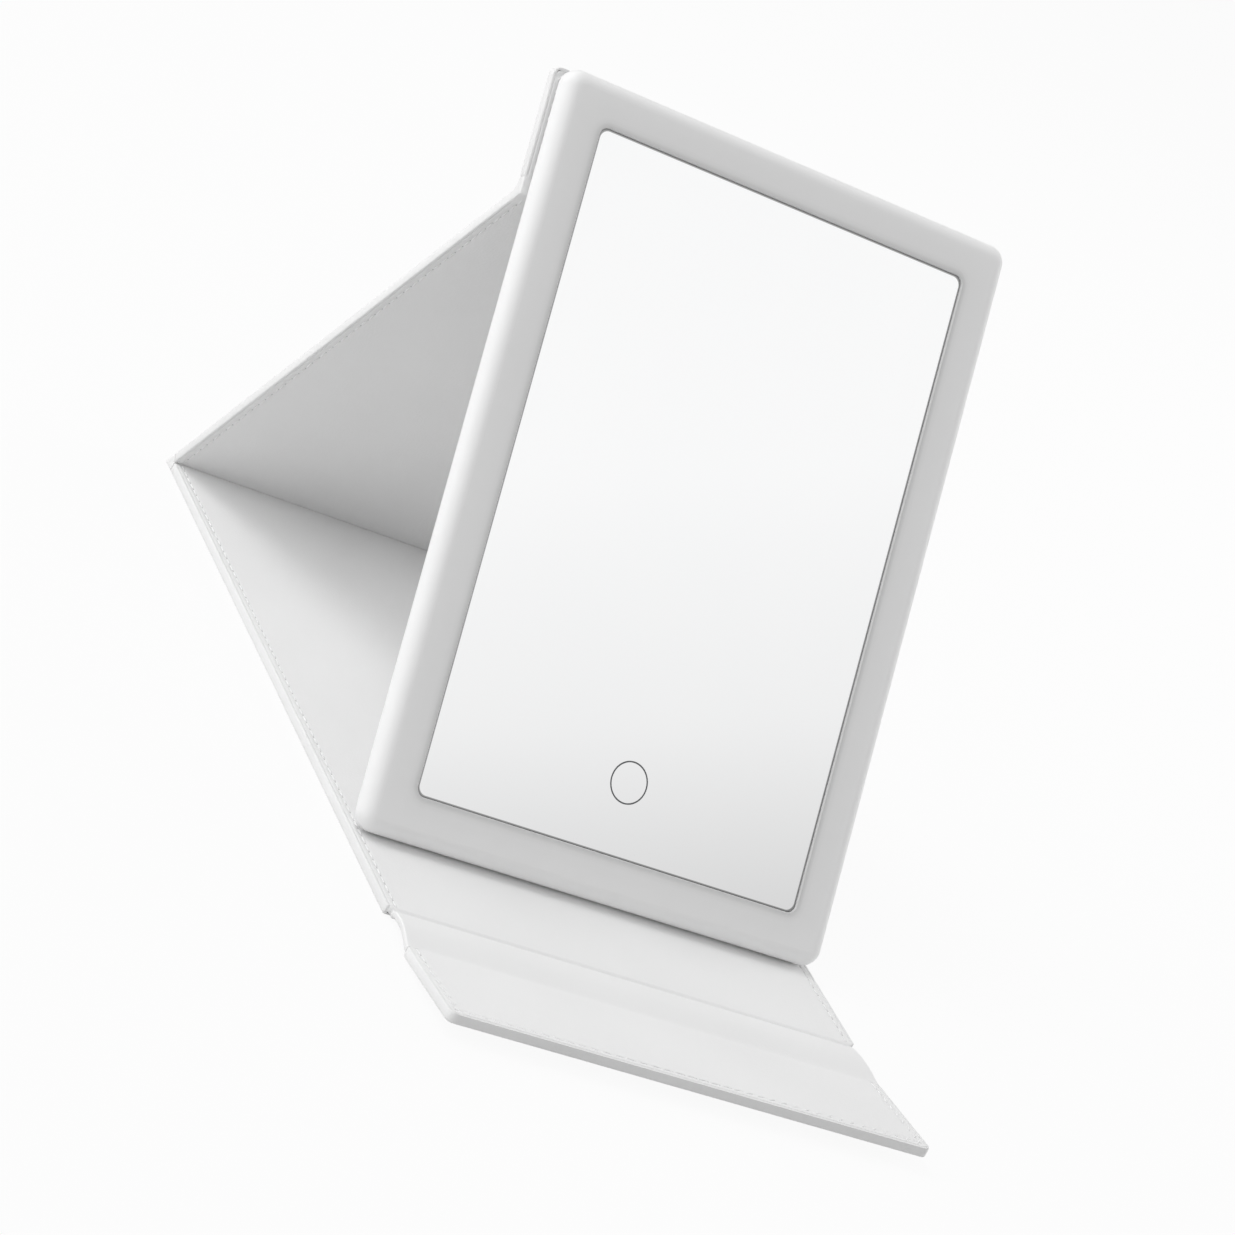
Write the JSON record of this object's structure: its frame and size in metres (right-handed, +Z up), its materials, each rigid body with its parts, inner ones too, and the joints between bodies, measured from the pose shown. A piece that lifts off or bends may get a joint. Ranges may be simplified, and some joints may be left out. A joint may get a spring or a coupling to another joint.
{
  "type": "folding lighted makeup mirror",
  "caption": "Tablet-shaped makeup mirror with a milky light frame and touch ring, held in a white leather folio that folds into an easel stand.",
  "frame": {"origin": "on the table under the middle of the base panel, half-way between its two creases", "axes": "+Z up, +X along the creases to the right of someone who looks into the mirror, +Y away from that person"},
  "size_m": [0.152, 0.294, 0.1882],
  "materials": {
    "leather_outer": "white grained synthetic leather, satin",
    "leather_lining": "white smooth synthetic leather, satin",
    "stiffener": "raw grey board",
    "steel": "plain steel",
    "nickel": "nickel-plated magnet",
    "milky_plastic": "milky light-spreading plastic, satin",
    "mirror": "silvered glass",
    "ring_ink": "dark grey ring line",
    "foam_tape": "double-sided foam tape",
    "circuit_board": "green solder mask",
    "white_plastic": "white moulded plastic",
    "flex_strip": "white flexible circuit",
    "light_chip": "phosphor-filled light chip",
    "battery_pouch": "foil pouch",
    "component_black": "black moulded component",
    "lead_red": "insulated lead",
    "lead_white": "insulated lead"
  },
  "bodies": {
    "base": {"base_outer_skin": "leather_outer", "base_board": "stiffener", "base_lining": "leather_lining"},
    "strut": {"strut_outer_skin": "leather_outer", "strut_board": "stiffener", "strut_lining": "leather_lining"},
    "spine": {"spine_outer_skin": "leather_outer", "spine_lining": "leather_lining"},
    "flap": {"flap_outer_skin": "leather_outer", "flap_board": "stiffener", "flap_lining": "leather_lining", "flap_magnets": "nickel"},
    "mirror": {"fixed_panel_outer_skin": "leather_outer", "fixed_panel_board": "stiffener", "fixed_panel_lining": "leather_lining", "closure_keepers": "steel", "diffuser_frame": "milky_plastic", "mirror_glass": "mirror", "touch_ring": "ring_ink", "glass_tape": "foam_tape", "touch_sensor": "circuit_board", "light_tray": "white_plastic", "light_strip_left": "flex_strip", "light_strip_right": "flex_strip", "light_strip_bottom": "flex_strip", "light_strip_top": "flex_strip", "light_chips": "light_chip", "battery": "battery_pouch", "battery_tape": "foam_tape", "main_board": "circuit_board", "board_components": "component_black", "charging_port": "steel", "rear_cover": "white_plastic", "mounting_tape": "foam_tape", "cover_screws": "steel", "board_screws": "steel", "battery_leads": "lead_red", "light_leads": "lead_white", "touch_leads": "lead_white"}
  },
  "joints": [
    {"name": "rear_fold", "type": "hinge", "parent": "base", "child": "strut", "pos_m": [0, 0.121, 0.0004], "axis": [-1, 0, 0], "range_deg": [0, 125.7]},
    {"name": "top_fold", "type": "hinge", "parent": "strut", "child": "mirror", "pos_m": [0, 0.00824, 0.15334], "axis": [1, 0, 0], "range_deg": [0, 65.71]},
    {"name": "spine_fold", "type": "hinge", "parent": "base", "child": "spine", "pos_m": [0, -0.121, 0.00265], "axis": [-1, 0, 0], "range_deg": [0, 90]},
    {"name": "flap_fold", "type": "hinge", "parent": "spine", "child": "flap", "pos_m": [0, -0.1385, 0.00265], "axis": [-1, 0, 0], "range_deg": [-6, 84]}
  ],
  "couplings": [
    {"joint": "top_fold", "follows": "rear_fold", "ratio": 0.5227}
  ]
}
